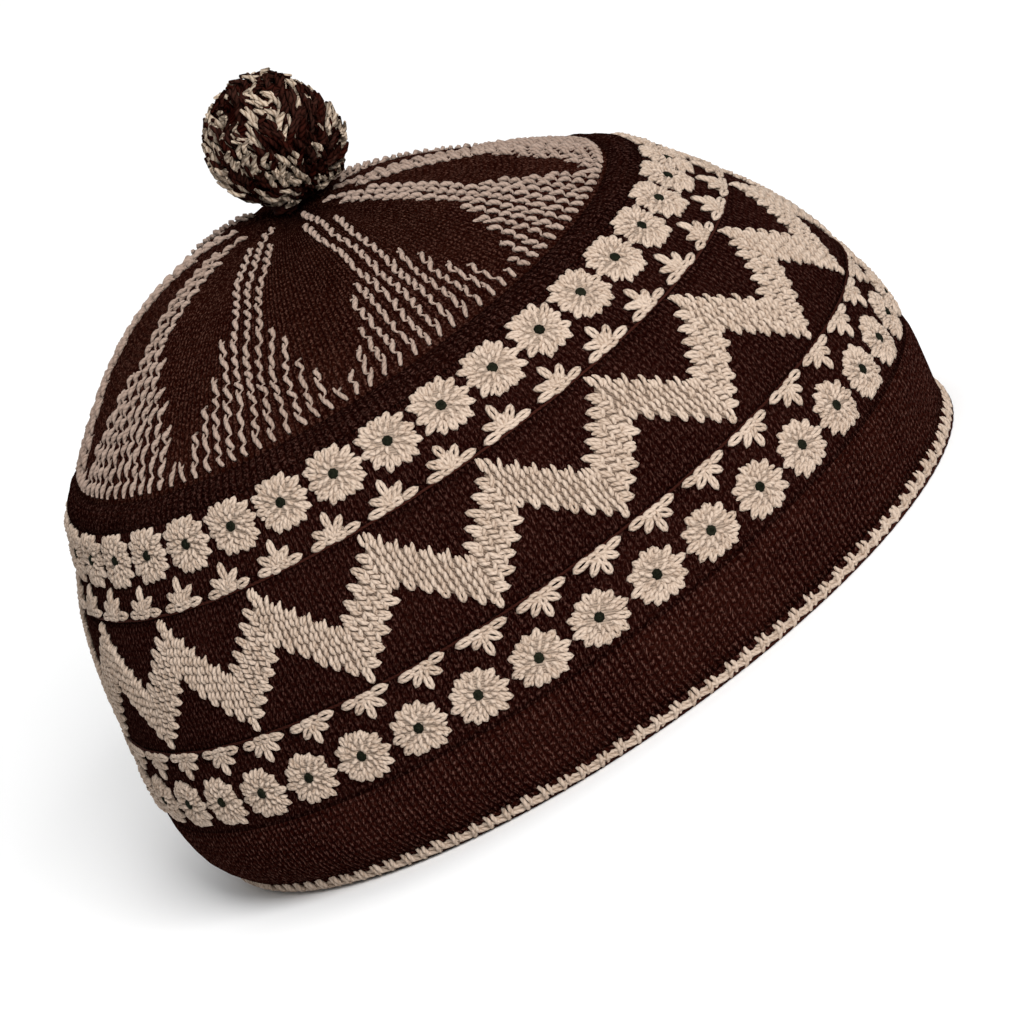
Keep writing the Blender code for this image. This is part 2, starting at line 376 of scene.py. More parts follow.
class Nodes:
    """Short way to write a material's node tree."""

    def __init__(self, name):
        self.material = bpy.data.materials.new(name)
        self.material.use_nodes = True
        self.tree = self.material.node_tree
        self.shader = self.tree.nodes["Principled BSDF"]

    def fill(self, node, inputs):
        """Link a node's inputs or set their values, and give its outputs."""
        for key, value in inputs.items():
            if isinstance(value, bpy.types.NodeSocket):
                self.tree.links.new(value, node.inputs[key])
            else:
                node.inputs[key].default_value = (*value, 1.0) if isinstance(value, tuple) else value
        return node.outputs

    def math(self, operation, first, second=0.0):
        node = self.tree.nodes.new("ShaderNodeMath")
        node.operation = operation
        return self.fill(node, {0: first, 1: second})[0]

    def times(self, first, second):
        return self.math("MULTIPLY", first, second)

    def plus(self, first, second):
        return self.math("ADD", first, second)

    def bow(self, value):
        """Half a wave for each whole step of a value."""
        return self.math("SINE", self.times(self.math("FRACT", value), math.pi))

    def mix(self, share, first, second):
        node = self.tree.nodes.new("ShaderNodeMix")
        node.data_type = "RGBA"
        return self.fill(node, {"Factor": share, "A": first, "B": second})["Result"]

    def noise(self, vector, scale, roughness):
        node = self.tree.nodes.new("ShaderNodeTexNoise")
        inputs = {"Vector": vector, "Scale": scale, "Detail": FINE_DETAIL, "Roughness": roughness}
        return self.fill(node, inputs)["Fac"]

    def ramp(self, value, low, high):
        node = self.tree.nodes.new("ShaderNodeMapRange")
        node.interpolation_type = "SMOOTHSTEP"
        return self.fill(node, {"Value": value, "From Min": low, "From Max": high})["Result"]

    def place(self):
        return self.tree.nodes.new("ShaderNodeTexCoord").outputs["Object"]

    def uv(self):
        node = self.tree.nodes.new("ShaderNodeUVMap")
        node.uv_map = "UVMap"
        split = self.tree.nodes.new("ShaderNodeSeparateXYZ")
        u, v, _ = self.fill(split, {0: node.outputs[0]})
        return u, v

    def vector(self, first, second):
        node = self.tree.nodes.new("ShaderNodeCombineXYZ")
        return self.fill(node, {0: first, 1: second})[0]

    def tone(self):
        node = self.tree.nodes.new("ShaderNodeAttribute")
        node.attribute_name = "tone"
        return node.outputs["Fac"]

    def ply(self, twist):
        """Ridges of twisted yarn: U runs along the strand in millimetres and V once round it."""
        u, v = self.uv()
        return self.bow(self.plus(self.math("DIVIDE", u, twist), self.times(v, PLY_TURNS)))

    def bump(self, height, distance):
        node = self.tree.nodes.new("ShaderNodeBump")
        outputs = self.fill(node, {"Strength": 1.0, "Distance": distance, "Height": height})
        self.fill(self.shader, {"Normal": outputs[0]})

    def finish(self, colour, roughness, sheen=0.0, specular=0.0):
        self.fill(self.shader, {
            "Base Color": colour, "Roughness": roughness, "Specular IOR Level": specular,
            "Sheen Weight": sheen, "Sheen Roughness": SHEEN_ROUGHNESS, "Sheen Tint": SHEEN_TINT,
        })
        return self.material


# Slant of a knitted stitch across its rib, and the noise of fuzz, patches and fibres
STITCH_SLANT = 0.55
FUZZ_SCALE = 2600.0
PATCH_SCALE = 60.0
FIBRE_SCALE = 2000.0
FIBRE_ACROSS = 4.4
FIBRE_LEAN = 1.3
FIBRE_ALONG = 1.5
GROOVE_LIGHT = 0.12


def knit_material(name, dark, light, warm, along_wales, relief_depth, groove_shade=0.0):
    """Fine knit with light fibres: a rib for each step of U, a stitch for each step of V; painted shade
    darkens the stitch hollows and the rib grooves.
    """
    nodes = Nodes(name)
    u, v = nodes.uv()
    climb = nodes.plus(v, nodes.times(nodes.math("PINGPONG", u, 1.0), STITCH_SLANT))
    rib = nodes.bow(u)
    relief = nodes.times(nodes.math("POWER", nodes.bow(climb), 0.7), nodes.math("POWER", rib, 0.8))
    place = nodes.place()
    fuzz = nodes.noise(place, FUZZ_SCALE, 0.7)
    patch = nodes.noise(place, PATCH_SCALE, 0.6)
    if along_wales:
        slanted = nodes.math("SUBTRACT", nodes.times(u, FIBRE_ACROSS), nodes.times(v, FIBRE_LEAN))
        fibre = nodes.noise(nodes.vector(slanted, nodes.times(v, FIBRE_ALONG)), 1.0, 0.65)
    else:
        fibre = nodes.noise(place, FIBRE_SCALE, 0.65)
    # Painted shade in the rib grooves: the light fibres fade out there, by the share given for the
    # grooves
    grooved = nodes.math("SUBTRACT", nodes.times(rib, 1.0 + groove_shade), groove_shade)
    ridge = nodes.plus(nodes.math("MAXIMUM", grooved, 0.0), GROOVE_LIGHT)
    # Painted shade in the stitch hollows: they take the dark colour, while the stitch tops lean to the
    # warm one
    colour = nodes.mix(nodes.times(relief, 0.5), dark, warm)
    colour = nodes.mix(nodes.times(nodes.ramp(patch, 0.35, 0.75), 0.35), colour, warm)
    colour = nodes.mix(nodes.times(nodes.ramp(fibre, 0.48, 0.68), ridge), colour, light)
    nodes.bump(nodes.plus(relief, nodes.plus(fibre, nodes.times(fuzz, 0.6))), relief_depth)
    return nodes.finish(colour, 1.0)


YARN_TWIST = 1.3
CENTRE_TWIST = 1.0
YARN_FIBRE_SCALE = 2400.0
YARN_ROUGHNESS = 0.85


def yarn_material(name, shadow, middle, light, sheen, depth=0.00012, specular=0.2, twist=YARN_TWIST):
    """Twisted yarn, lighter on its plies, with each strand's own tone."""
    nodes = Nodes(name)
    ply = nodes.ply(twist)
    fibre = nodes.noise(nodes.place(), YARN_FIBRE_SCALE, 0.7)
    colour = nodes.mix(nodes.ramp(ply, 0.0, 0.9), shadow, middle)
    colour = nodes.mix(nodes.times(nodes.tone(), 0.55), colour, light)
    colour = nodes.mix(nodes.times(nodes.ramp(fibre, 0.35, 0.7), 0.3), colour, light)
    nodes.bump(nodes.plus(ply, nodes.times(fibre, 0.7)), depth)
    return nodes.finish(colour, YARN_ROUGHNESS, sheen, specular)


MAROON = knit_material(
    "maroon_knit_fine",
    (0.005, 0.0003, 0.0002), (0.078, 0.035, 0.027), (0.019, 0.004, 0.0025),
    True, 0.0005, 0.1,
)
HEM_MAROON = knit_material(
    "maroon_knit_ribbed",
    (0.006, 0.0003, 0.0002), (0.12, 0.056, 0.043), (0.031, 0.0064, 0.0038),
    True, 0.0006, 0.55,
)
BROWN = knit_material(
    "crown_knit_brown",
    (0.0066, 0.0006, 0.0003), (0.086, 0.038, 0.027), (0.024, 0.0056, 0.003),
    False, 0.0005,
)
WELT = knit_material(
    "welt_wool_maroon",
    (0.005, 0.0004, 0.0002), (0.08, 0.036, 0.028), (0.018, 0.004, 0.0024),
    False, 0.0009,
)
TAN = yarn_material(
    "tan_wool_twisted", (0.215, 0.143, 0.096), (0.37, 0.277, 0.211), (0.525, 0.42, 0.339), 0.04
)
# The wall's tan yarn darkened by about a third for the crown's lines: painted shade
CROWN_TAN_SHADED = yarn_material(
    "crown_wool_tan_shaded", (0.145, 0.092, 0.066), (0.258, 0.181, 0.142), (0.372, 0.28, 0.229), 0.03
)
# Darker tan yarn under the embroidery, for painted shade where the gaps between the stitches show it
TAN_UNDER_SHADED = yarn_material(
    "tan_wool_under_shaded", (0.075, 0.048, 0.033), (0.165, 0.112, 0.079), (0.39, 0.3, 0.232), 0.02, 0.0002
)
GREEN = yarn_material(
    "centre_yarn_green",
    (0.0022, 0.0021, 0.0012), (0.0045, 0.005, 0.0026), (0.016, 0.017, 0.01),
    0.0, 0.0001, 0.02, CENTRE_TWIST,
)
DARK_YARN = yarn_material(
    "maroon_wool_twisted",
    (0.006, 0.0008, 0.0004), (0.02, 0.0042, 0.0026), (0.05, 0.015, 0.01),
    0.0, 0.00012, 0.02,
)
# Colours of the pompom's yarn between its plies, where shade is painted, and on them
POMPOM_DARK = ((0.0042, 0.0004, 0.0003), (0.0215, 0.0038, 0.0023))
POMPOM_TAN = ((0.285, 0.203, 0.142), (0.505, 0.403, 0.308))
POMPOM_TWIST = 1.6
POMPOM_FIBRE_SCALE = 1800.0


def pompom_material():
    """Loose wool yarn whose strands are dark where tone is 0 and tan where it is 1."""
    nodes = Nodes("pompom_wool_mixed")
    ply = nodes.ply(POMPOM_TWIST)
    fibre = nodes.noise(nodes.place(), POMPOM_FIBRE_SCALE, 0.7)
    # Painted shade: the yarn takes its darker colour between the plies
    on_ply = nodes.ramp(ply, 0.0, 0.9)
    dark = nodes.mix(on_ply, *POMPOM_DARK)
    tan = nodes.mix(on_ply, *POMPOM_TAN)
    nodes.bump(nodes.plus(ply, fibre), 0.0002)
    return nodes.finish(nodes.mix(nodes.tone(), dark, tan), 1.0)


POMPOM = pompom_material()

# Knitted ground

RIBS = 360
RIB_STEPS = 3
RIB_DEPTH = 0.16
HEM_RIB_DEPTH = 0.36
INSIDE_RIB_DEPTH = 0.15
INSIDE_ROWS = 3
STITCH_HEIGHT = 1.35


def ring_piece(name, surface, step, places, depths, material, u_count, v_at, replaced, resting=False):
    """Closed ring: a cross-section, outside and inside, carried round the cap."""
    places = np.concatenate(places)
    depths = np.concatenate(depths)
    v_at = np.concatenate((*v_at, [v_at[1][-1] + 2]))
    rows, columns = depths.shape
    turns = 2 * np.pi * np.arange(columns) / columns
    place = np.repeat(places[:, None], columns, axis=1)
    points, _ = raised(surface, step, place, turns[None, :], -depths)
    if resting:
        points[place <= 0.0, 2] = 0.0
        points[..., 2] = np.maximum(points[..., 2], 0.0)
    quads = ring_quads(rows, rows, columns)
    row, column = np.indices((rows, columns))
    u_low = column / columns * u_count
    u_high = (column + 1) / columns * u_count
    uvs = corner_uvs(u_low, u_high, v_at[row], v_at[row + 1])
    add_piece(name, points.reshape(-1, 3), [quads], material, [uvs], None, replaced)


def rib_relief(columns):
    """Height of the ribs round the cap, from 0 in a groove to 1 on a rib."""
    place = np.arange(columns) % RIB_STEPS / RIB_STEPS
    return np.sin(np.pi * place) ** 0.8


def knit_band(name, low, high, rows, replaced, relief=None, rib_depth=RIB_DEPTH, resting=False,
              material=MAROON):
    """Band of the wall between two heights, ribbed outside and plain inside."""
    heights = np.linspace(low, high, rows + 1)
    inside = np.linspace(high, low, INSIDE_ROWS)
    ribs = rib_relief(RIBS * RIB_STEPS)
    outer = -WALL_GROUND - rib_depth * ribs[None, :] + np.zeros((rows + 1, 1))
    if relief is not None:
        outer = outer - relief(length_at(heights))[:, None]
    inner = WALL_THICKNESS + INSIDE_RIB_DEPTH * ribs[None, :] + np.zeros((INSIDE_ROWS, 1))
    v_outer = length_at(heights) / STITCH_HEIGHT
    v_inner = v_outer[-1] + 2 + (length_at(high) - length_at(inside)) / STITCH_HEIGHT
    ring_piece(
        name, wall_surface, PLACE_STEP, (heights, inside), (outer, inner), material, RIBS,
        (v_outer, v_inner), replaced, resting,
    )


# Length up the wall of the hem's fold, how proud the hem is below it and how deep the fold is
FOLD_LENGTH = 20.9
FOLD_SHARPNESS = 1.1
HEM_PROUD = 0.5
HEM_DRAWN_IN = 3.2
FOLD_DEPTH = 0.22


def hem_relief(length):
    """Doubled hem a little proud of the wall above it, with a soft fold at its end."""
    below = 1 / (1 + np.exp((length - FOLD_LENGTH) * FOLD_SHARPNESS))
    drawn_in = 1 - np.exp(-((length / HEM_DRAWN_IN) ** 2))
    fold = FOLD_DEPTH * np.exp(-((length - FOLD_LENGTH - 1.2) ** 2) / 2.0)
    return HEM_PROUD * below * drawn_in - fold


knit_band("rim_knit", 0.0, EDGING_TOP, 3, [], hem_relief, HEM_RIB_DEPTH, True, HEM_MAROON)
knit_band(
    "hem_knit", EDGING_TOP, HEM_TOP, 6, ["ribbed_hem"], hem_relief, HEM_RIB_DEPTH, False, HEM_MAROON
)
knit_band("lower_band_knit", HEM_TOP, LOWER_SEAM, 7, ["lower_flower_band"], hem_relief)
knit_band("zigzag_band_knit", LOWER_SEAM, UPPER_SEAM, 6, ["zigzag_band"])
knit_band("upper_band_knit", UPPER_SEAM, WELT_LOW, 5, ["upper_flower_band"])

# Welt

WELT_COLUMNS = 720
WELT_ROWS = 12
WELT_INSIDE_ROWS = 5
WELT_STRANDS = 240
WELT_LEAN = 1.2
WELT_BULGE = 0.85
WELT_WRAP_DEPTH = 0.13
# Uneven places: height, number round the cap, shift
WELT_LUMPS = ((0.1, 31, 1.0), (0.08, 47, 0.0))


def welt_piece():
    share = np.linspace(0, 1, WELT_ROWS + 1)
    heights = WELT_LOW + (WALL_TOP - WELT_LOW) * share
    inside = np.linspace(WALL_TOP, WELT_LOW, WELT_INSIDE_ROWS)
    turns = np.arange(WELT_COLUMNS) / WELT_COLUMNS
    swell = np.sin(np.pi * share) ** 0.6
    wrap = np.sin(2 * np.pi * (turns[None, :] * WELT_STRANDS + share[:, None] * WELT_LEAN))
    bulge = WELT_BULGE + WELT_WRAP_DEPTH * wrap
    for height, count, shift in WELT_LUMPS:
        bulge = bulge + height * np.sin(2 * np.pi * turns * count + shift)
    outer = -WALL_GROUND - swell[:, None] * bulge
    inner = np.full((WELT_INSIDE_ROWS, WELT_COLUMNS), WALL_THICKNESS)
    v_at = (share * 5, 7 + np.linspace(0, 5, WELT_INSIDE_ROWS))
    ring_piece(
        "welt_roll", wall_surface, PLACE_STEP, (heights, inside), (outer, inner), WELT, WELT_STRANDS,
        v_at, ["crown_welt"],
    )


welt_piece()

# Crown

CROWN_ROWS = 22
CROWN_INSIDE_ROWS = 7
CROWN_RIBS = 270
CROWN_RIB_DEPTH = 0.25
CROWN_LENGTH = 66
CROWN_UNDER_WELT = 0.02
PUCKERS = 27
PUCKER_DEPTH = 0.35


def crown_piece():
    low = CROWN_LOW - CROWN_UNDER_WELT
    share = np.linspace(low, CROWN_HIGH, CROWN_ROWS + 1)
    inside = np.linspace(CROWN_HIGH, low, CROWN_INSIDE_ROWS)
    columns = CROWN_RIBS * RIB_STEPS
    turns = np.arange(columns) / columns
    fade = np.clip(1.1 - share, 0, 1)
    pucker = np.sin(2 * np.pi * turns * PUCKERS)[None, :] * (share[:, None] ** 3) * PUCKER_DEPTH
    outer = -CROWN_GROUND - CROWN_RIB_DEPTH * rib_relief(columns)[None, :] * fade[:, None] - pucker
    inner = np.full((CROWN_INSIDE_ROWS, columns), CROWN_THICKNESS)
    v_outer = share * CROWN_LENGTH / STITCH_HEIGHT
    v_inner = v_outer[-1] + 2 + (CROWN_HIGH - inside) * CROWN_LENGTH / STITCH_HEIGHT
    ring_piece(
        "crown_knit", crown_surface, SHARE_STEP, (share, inside), (outer, inner), BROWN, CROWN_RIBS,
        (v_outer, v_inner), ["crown"],
    )


crown_piece()

# Crown lines: steps from the wedge's middle, share of the crown where the line starts
CROWN_LINES = (
    (0, 0.845), (1, 0.70), (-1, 0.76),
    (2, 0.345), (-2, 0.335), (3, 0.28), (-3, 0.265), (4, 0.21), (-4, 0.20),
    (5, 0.145), (-5, 0.135), (6, 0.075), (-6, 0.065),
)
WEDGE_TURN = -75.8
LINE_PITCH = 3.08
LINE_SPACING = 2.95
LINE_RADIUS = 0.45
LINE_END = 0.012
LINE_SEAT = 0.05
LINE_STRAY = 0.08
START_STRAY = 0.02
CROWN_REACH = 66.3
WANDER = 0.28
WANDER_LENGTH = 2.6
WAVE_LENGTH = 2.7
WAVE_SWING = 0.5
WAVE_LIFT = 0.5
LOOSE_SHARE = 0.5
LOOSE_RADIUS = 0.42
# The way each wedge's lines lean
WEDGE_LEANS = (1, -1, 1, -1, 1, 1, -1, 1, -1)
# One wave of a line: share of its length, swing, girth, height
WAVE = np.array([
    (0.00, -1.00, 0.86, 0.3), (0.13, -0.82, 1.10, 0.8), (0.30, -0.28, 1.24, 1.1),
    (0.46, 0.28, 1.24, 1.1), (0.60, 0.80, 1.12, 0.8), (0.69, 1.00, 0.88, 0.3),
    (0.80, 0.50, 0.66, 0.0), (0.91, -0.50, 0.66, 0.0),
])
# Loose end beside a wave: share of its length, swing, girth, height
LOOSE_END = np.array([
    (0.30, 0.1, 0.6, 0.2), (0.55, 0.8, 0.9, 0.6), (0.85, 1.45, 0.9, 0.6), (1.10, 1.75, 0.6, 0.2),
])


def crown_strands(middle, steps, begin, length, swing, shape):
    """Strands on the crown that follow a shape, each from its own place along a line."""
    run = begin[:, None] + length[:, None] * shape[:, 0]
    place = LINE_END + run / CROWN_REACH
    arc_radius = (1 - place) * CROWN_REACH
    spread = steps[:, None] * np.maximum(math.radians(LINE_PITCH) * arc_radius, LINE_SPACING)
    wander = WANDER * np.sin(run / WANDER_LENGTH + steps[:, None] + middle[:, None] * 7)
    aside = swing[:, None] * shape[:, 1] + wander
    turn = middle[:, None] + (spread + aside + CHANCE.normal(0, LINE_STRAY, run.shape)) / arc_radius
    lift = CROWN_GROUND + LINE_SEAT + WAVE_LIFT * shape[:, 3] + CHANCE.normal(0, LIFT_STRAY, run.shape)
    return raised(crown_surface, SHARE_STEP, place, turn, lift)


def crown_lines():
    groups = []
    loose = []
    for gore, lean in enumerate(WEDGE_LEANS):
        middle = math.radians(WEDGE_TURN + 360.0 / GORES * gore)
        for steps, start in CROWN_LINES:
            reach = (start + CHANCE.uniform(-START_STRAY, START_STRAY) - LINE_END) * CROWN_REACH
            count = max(round(reach / WAVE_LENGTH), 1)
            lengths = CHANCE.uniform(0.7, 1.3, count)
            lengths = lengths * reach / lengths.sum()
            begins = np.cumsum(lengths) - lengths
            swings = lean * WAVE_SWING * CHANCE.uniform(0.55, 1.4, count)
            line = np.full(count, float(steps))
            points, ups = crown_strands(np.full(count, middle), line, begins, lengths, swings, WAVE)
            radii = LINE_RADIUS * WAVE[:, 2] * CHANCE.uniform(0.84, 1.14, (count, len(WAVE)))
            points = points.reshape(1, -1, 3)
            ups = ups.reshape(1, -1, 3)
            tone = CHANCE.uniform(0.1, 0.9, 1)
            groups.append(tubes(points, ups, radii.reshape(1, -1), YARN_SIDES, False, tone))
            for begin, length, swing in zip(begins, lengths, swings):
                if CHANCE.uniform() < LOOSE_SHARE:
                    loose.append((middle, steps, begin, length, swing))
    points, ups = crown_strands(*np.array(loose).T, LOOSE_END)
    tones = CHANCE.uniform(0, 1, len(points))
    groups.append(tubes(points, ups, LOOSE_RADIUS * LOOSE_END[:, 2], YARN_SIDES, False, tones))
    add_strands("crown_yarn_lines", groups, CROWN_TAN_SHADED)


crown_lines()

# Embroidery on the wall

UPPER_FLOWER_LENGTH = 82.5
UPPER_FLOWER_TURNS = -85.3 + 10.0 * np.arange(36)
UPPER_HALF_TURNS = UPPER_FLOWER_TURNS - 5.0
UPPER_LINE = 70.0
LOWER_FLOWER_LENGTH = 28.3
LOWER_FLOWER_TURNS = -87.0 + 9.0 * np.arange(40)
LOWER_HALF_TURNS = LOWER_FLOWER_TURNS - 4.6
LOWER_LINE = 39.6
ZIGZAG_TURNS = -86.4 + 20.0 * np.arange(18)

# Outer petals: tip x, tip y
UPPER_PETALS = np.array([
    (-3.7, 5.9), (-1.3, 6.1), (1.3, 6.1), (3.7, 5.9), (6.1, 3.6), (6.7, -0.1), (6.1, -3.6),
    (3.7, -5.9), (1.3, -6.1), (-1.3, -6.1), (-3.7, -5.9), (-6.1, -3.6), (-6.7, -0.1), (-6.1, 3.6),
])
LOWER_PETALS = np.array([
    (-3.0, 5.2), (-0.2, 5.6), (2.7, 5.2), (5.8, 3.2), (7.3, -0.6), (6.2, -3.9),
    (3.9, -5.7), (1.3, -5.9), (-1.4, -5.9), (-3.7, -5.6), (-5.9, -3.9), (-7.3, -0.7), (-5.9, 3.0),
])
# Half flowers: base x, base y, tip x, tip y
UPPER_HALF = np.array([
    (-2.4, 0.7, -6.3, 0.7), (2.4, 0.7, 6.2, 1.0), (0.2, 0.7, -3.0, 0.7), (-0.2, 0.7, 3.0, 0.8),
    (-1.0, 1.6, -4.3, 3.9), (1.0, 1.7, 3.6, 4.4), (-0.4, 0.9, -1.6, 3.7), (0.4, 0.9, 1.5, 3.8),
    (0.0, 1.4, 0.0, 4.2), (0.0, 3.3, -0.1, 6.9),
])
LOWER_HALF = np.array([
    (-2.4, -0.7, -6.5, -0.8), (2.4, -0.7, 6.3, -0.7), (0.2, -0.7, -3.0, -0.7), (-0.2, -0.7, 3.0, -0.7),
    (-0.9, -1.5, -3.7, -3.7), (0.9, -1.5, 3.6, -3.5), (0.0, -1.2, 0.0, -3.6), (0.0, -2.9, 0.0, -6.0),
])
PETAL_START = 3.7
PETAL_HALF = 0.52
PETAL_LIFT = 0.5
FLOWER_STRAY = 0.27
HALF_FLOWER_LOOP = 0.55
YARN_RADIUS = 0.48
STITCH_LIFT = 0.55
NOTCH_START = 0.68
NOTCH_END = 0.85
# Rings of stitches inside a flower: count, turn offset, start, end, lift
FLOWER_RINGS = (
    (8, 0.3, 1.15, 3.0, 0.80),
    (13, 0.0, 2.4, 4.2, 0.78),
    (16, 0.4, 3.5, 5.2, 0.70),
)


def spokes(count, offset, start, end):
    """Stitches from the middle outwards: base x, base y, tip x, tip y."""
    angle = 2 * np.pi * (np.arange(count) + offset) / count
    ring = np.stack((np.cos(angle), np.sin(angle)), axis=-1)
    return np.concatenate((ring * start, ring * end), axis=-1)


def petal_rows(petals):
    reach = np.linalg.norm(petals, axis=-1, keepdims=True)
    return np.concatenate((petals / reach * PETAL_START, petals), axis=-1)


def notch_rows(petals):
    """Single stitches that fill the notches between the outer petals."""
    between_tips = (petals + np.roll(petals, -1, axis=0)) / 2
    return np.concatenate((between_tips * NOTCH_START, between_tips * NOTCH_END), axis=-1)


# Mats of yarn under the flowers, darker for painted shade in the gaps between the stitches: height of
# the middle, half width, half height, rise
FLOWER_MAT = (0.0, 5.7, 5.2, 0.78)
UPPER_HALF_MAT = (1.7, 2.9, 1.5, 0.4)
LOWER_HALF_MAT = (-1.3, 2.9, 1.2, 0.4)
# Rings of a mat: share of its size, share of its rise
MAT_RINGS = np.array([(0.0, 1.0), (0.4, 0.95), (0.75, 0.8), (0.92, 0.45), (1.0, -0.6)])
MAT_COLUMNS = 20
MAT_HOLE = 0.02
MAT_STRETCH = 1.2
MATS = []


def dome(turns, length, middle, wide, tall, rise):
    """Low mats of yarn under the stitches of a flower, one at each turn, darker for painted shade in the
    gaps between them.
    """
    rings = MAT_RINGS[:, :1]
    angle = 2 * np.pi * np.arange(MAT_COLUMNS) / MAT_COLUMNS
    x = wide * rings * np.cos(angle)
    y = middle + tall * rings * np.sin(angle)
    x[0] = x[0] + MAT_HOLE * np.cos(angle)
    y[0] = y[0] + MAT_HOLE * np.sin(angle)
    lift = WALL_GROUND + rise * MAT_RINGS[:, 1:] + np.zeros_like(x)
    count = len(turns)
    points, _ = on_wall_flat(turns[:, None, None], length, x, y, lift)
    first = np.arange(count) * x.size
    quads = ring_quads(len(x) - 1, len(x), MAT_COLUMNS)[:, [0, 3, 2, 1]]
    quads = (first[:, None, None] + quads).reshape(-1, 4)
    lid = first[:, None] + np.arange(MAT_COLUMNS)
    flat = np.tile(np.stack((x, y / MAT_STRETCH), axis=-1).reshape(-1, 2), (count, 1))
    uvs = [flat[quads.ravel()], flat[lid.ravel()]]
    return points.reshape(-1, 3), [quads, lid], uvs, np.ones(count * x.size)


def embroider(name, turns, length, looped, half_width, lift, single, mat):
    """Flowers of one kind at each turn: looped petals, single stitches and a mat under them, darker for
    painted shade between the stitches.
    """
    MATS.append(dome(turns, length, *mat))
    groups = [loops(length, *repeated(turns, looped), half_width, YARN_RADIUS, lift)]
    for rows, single_lift in single:
        stitches = repeated(turns, rows)
        groups.append(straights(length, *stitches, YARN_RADIUS, single_lift, FLOWER_STRAY))
    add_strands(name, groups, TAN)


for name, turns, length, petals in (
    ("upper_flowers", UPPER_FLOWER_TURNS, UPPER_FLOWER_LENGTH, UPPER_PETALS),
    ("lower_flowers", LOWER_FLOWER_TURNS, LOWER_FLOWER_LENGTH, LOWER_PETALS),
):
    single = [(notch_rows(petals), PETAL_LIFT)] + [(spokes(*ring[:4]), ring[4]) for ring in FLOWER_RINGS]
    embroider(name, turns, length, petal_rows(petals), PETAL_HALF, PETAL_LIFT, single, FLOWER_MAT)
for name, turns, length, looped, mat in (
    ("upper_half_flowers", UPPER_HALF_TURNS, UPPER_LINE, UPPER_HALF, UPPER_HALF_MAT),
    ("lower_half_flowers", LOWER_HALF_TURNS, LOWER_LINE, LOWER_HALF, LOWER_HALF_MAT),
):
    embroider(name, turns, length, looped, HALF_FLOWER_LOOP, STITCH_LIFT, (), mat)

# Loops in the middle of a flower: radius, lift
CENTRE_LOOPS = ((0.75, -0.05), (0.3, 0.0))
CENTRE_STEPS = 8
CENTRE_YARN = 0.45


def flower_centres(name, turns, length):
    """Dark green dot of small knotted loops in the middle of each flower."""
    angle = np.linspace(0, 2 * np.pi, CENTRE_STEPS, endpoint=False)
    groups = []
    for radius, lift in CENTRE_LOOPS:
        x = radius * np.cos(angle)
        y = radius * np.sin(angle)
        paths, ups = on_wall_flat(turns[:, None], length, x, y, lift)
        tones = CHANCE.uniform(0, 1, len(turns))
        groups.append(tubes(paths, ups, CENTRE_YARN, ROUND_SIDES, True, tones))
    add_strands(name, groups, GREEN)


flower_centres("upper_flower_centres", UPPER_FLOWER_TURNS, UPPER_FLOWER_LENGTH)
flower_centres("lower_flower_centres", LOWER_FLOWER_TURNS, LOWER_FLOWER_LENGTH)

ZIGZAG_TOP = 68.7
ZIGZAG_STEP = 2.43
ZIGZAG_DEPTH = 13.4
ZIGZAG_COLUMNS = 12
HALF_COLUMNS = ZIGZAG_COLUMNS // 2
WALE = 360.0 / len(ZIGZAG_TURNS) / ZIGZAG_COLUMNS
# Looped stitches of a zigzag column, measured from its top: base x, base y, tip x, tip y
RISING_LOOPS = ((0.9, -2.8, -1.9, -0.5), (-1.9, -11.6, 1.2, -12.9))
FALLING_LOOPS = ((0.1, -11.1, -0.15, -13.3),)
# Single stitches: base x, base y, tip x, tip y
FALLING_TIPS = ((-0.75, -2.3, 0.35, 0.4), (-1.75, -1.9, -0.95, 0.1))
PEAK_TIPS = ((-1.1, -2.4, -0.85, 0.4), (-0.1, -2.6, -0.2, 0.1), (0.9, -2.5, 0.7, -0.4))
# Stitches inside a column, repeated down it: middle x, middle y, run x, run y
RISING_STITCHES = ((-0.55, -3.0, 1.9, -1.25), (-0.25, -4.15, 1.9, -1.25), (0.9, -3.1, 0.75, 1.8))
RISING_ROWS = (4, 2.35)
FALLING_STITCHES = ((-0.62, -2.75, 0.38, 2.05), (0.62, -2.75, 0.38, 2.05))
FALLING_ROWS = (5, 1.95)
# The ribbon under the zigzag, darker yarn for painted shade in the gaps between its stitches: points for
# each column, inset, places across it and lift there
MAT_STEPS = 4
MAT_INSET = 1.3
MAT_ACROSS = np.array((0.0, 0.04, 0.12, 0.35, 0.65, 0.88, 0.96, 1.0))
MAT_LIFTS = np.array((-0.5, 0.15, 0.4, 0.45, 0.45, 0.4, 0.15, -0.5))
# Millimetres of the wall for each degree round it
WALL_DEGREE = 1.5


def zigzag_mat():
    """Flat ribbon of yarn that the zigzag's stitches cover, darker for painted shade in the gaps between
    them.
    """
    columns = ZIGZAG_COLUMNS * len(ZIGZAG_TURNS) * MAT_STEPS
    turn = np.arange(columns) * (WALE / MAT_STEPS)
    steps = np.abs((turn / WALE + HALF_COLUMNS) % ZIGZAG_COLUMNS - HALF_COLUMNS)
    top = ZIGZAG_TOP - ZIGZAG_STEP * steps - MAT_INSET
    bottom = top - ZIGZAG_DEPTH + 2 * MAT_INSET
    length = bottom + (top - bottom) * MAT_ACROSS[:, None]
    place = turn[None, :] + ZIGZAG_TURNS[0] + np.zeros_like(length)
    points, _ = on_wall(place, length, WALL_GROUND + MAT_LIFTS[:, None] + np.zeros_like(length))
    quads = ring_quads(len(length) - 1, len(length), columns)
    x = place * WALL_DEGREE / MAT_STRETCH
    next_x = x + WALE / MAT_STEPS * WALL_DEGREE / MAT_STRETCH
    here = np.stack((length, x), axis=-1)
    beside = np.stack((np.roll(length, -1, axis=1), next_x), axis=-1)
    uvs = np.stack((here[:-1], beside[:-1], beside[1:], here[1:]), axis=2).reshape(-1, 2)
    return points.reshape(-1, 3), [quads], [uvs], np.zeros(length.size)


